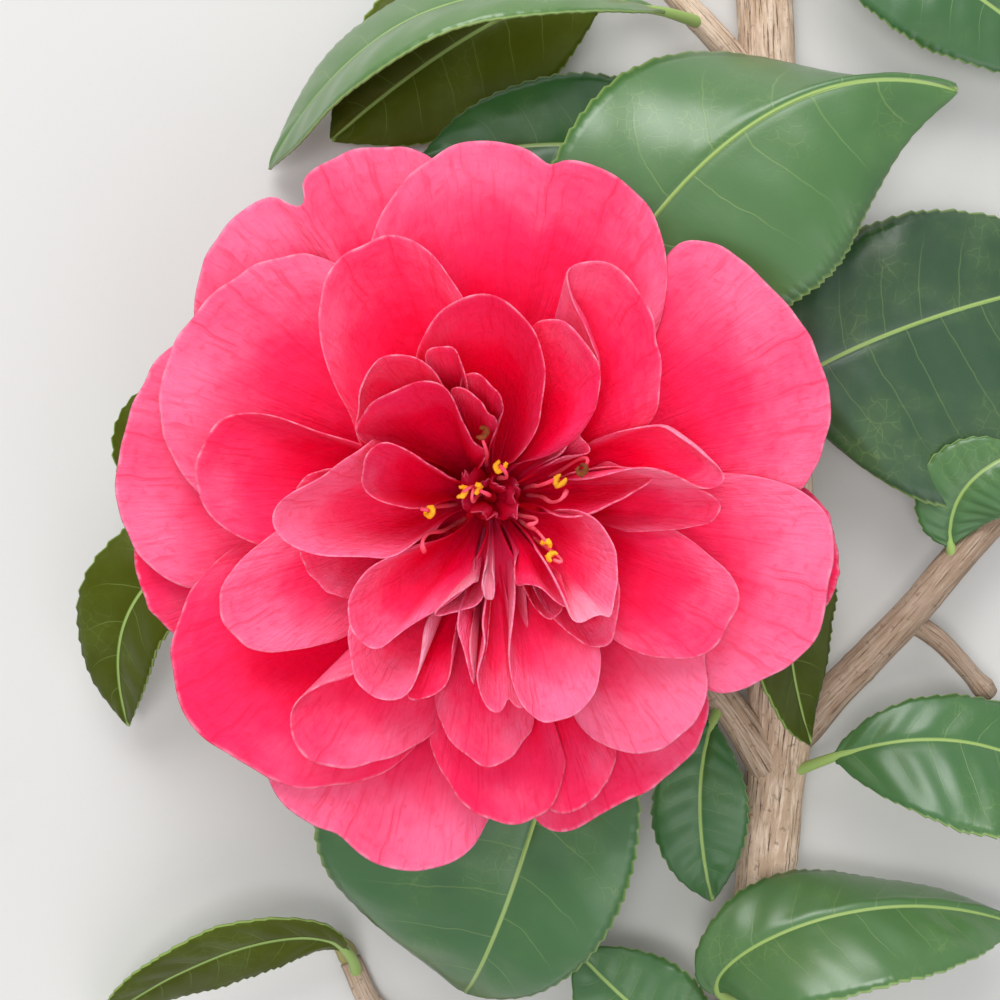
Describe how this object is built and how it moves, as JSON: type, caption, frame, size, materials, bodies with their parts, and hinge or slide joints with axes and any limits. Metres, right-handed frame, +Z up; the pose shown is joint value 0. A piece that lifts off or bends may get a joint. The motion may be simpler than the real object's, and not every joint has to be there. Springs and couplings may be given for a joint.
{
  "type": "cut camellia branch",
  "caption": "Cut branch of a camellia lying on a surface, with a large double coral-red bloom facing up, bent woody stems and glossy dark green leaves.",
  "frame": {"origin": "middle of the bounding box's underside, on the surface that the branch lies on", "axes": "+Z up from the surface and out of the bloom's face, +Y along the main stem from its cut end towards its upper end, +X to the side of the diagonal stem"},
  "size_m": [0.1752, 0.2002, 0.0721],
  "materials": {
    "bark": "dry grey-brown bark with tan streaks, paler at the cut ends",
    "green_bark": "smooth green-brown skin of this year's twig",
    "bract": "dry overlapping bracts, green-brown with pale edges",
    "petal": "soft satin petals, coral red, paler pink at the rims, deep red in the heart",
    "leaf": "glossy leathery leaf, dark green with a lighter midrib",
    "young_leaf": "semi-gloss leaf, yellow-green"
  },
  "bodies": {
    "root": {"main_stem": "bark", "flower_twig": "bark", "diagonal_stem": "bark", "side_spur": "bark", "top_twig": "bark", "low_twig": "bark", "left_twig": "green_bark", "calyx": "bract", "bloom": "petal", "leaf_top_right": "leaf", "leaf_right": "leaf", "leaf_top": "leaf", "leaf_bottom": "leaf", "leaf_left": "young_leaf", "leaf_left_upper": "young_leaf", "leaf_low_left": "young_leaf", "leaf_low_right": "leaf", "leaf_right_low": "leaf", "leaf_right_hanging": "young_leaf", "leaf_bottom_middle": "leaf", "leaf_small_right": "leaf", "leaf_top_corner": "leaf", "leaf_top_back": "young_leaf", "leaf_top_dark": "leaf", "leaf_fork": "leaf"}
  },
  "joints": []
}
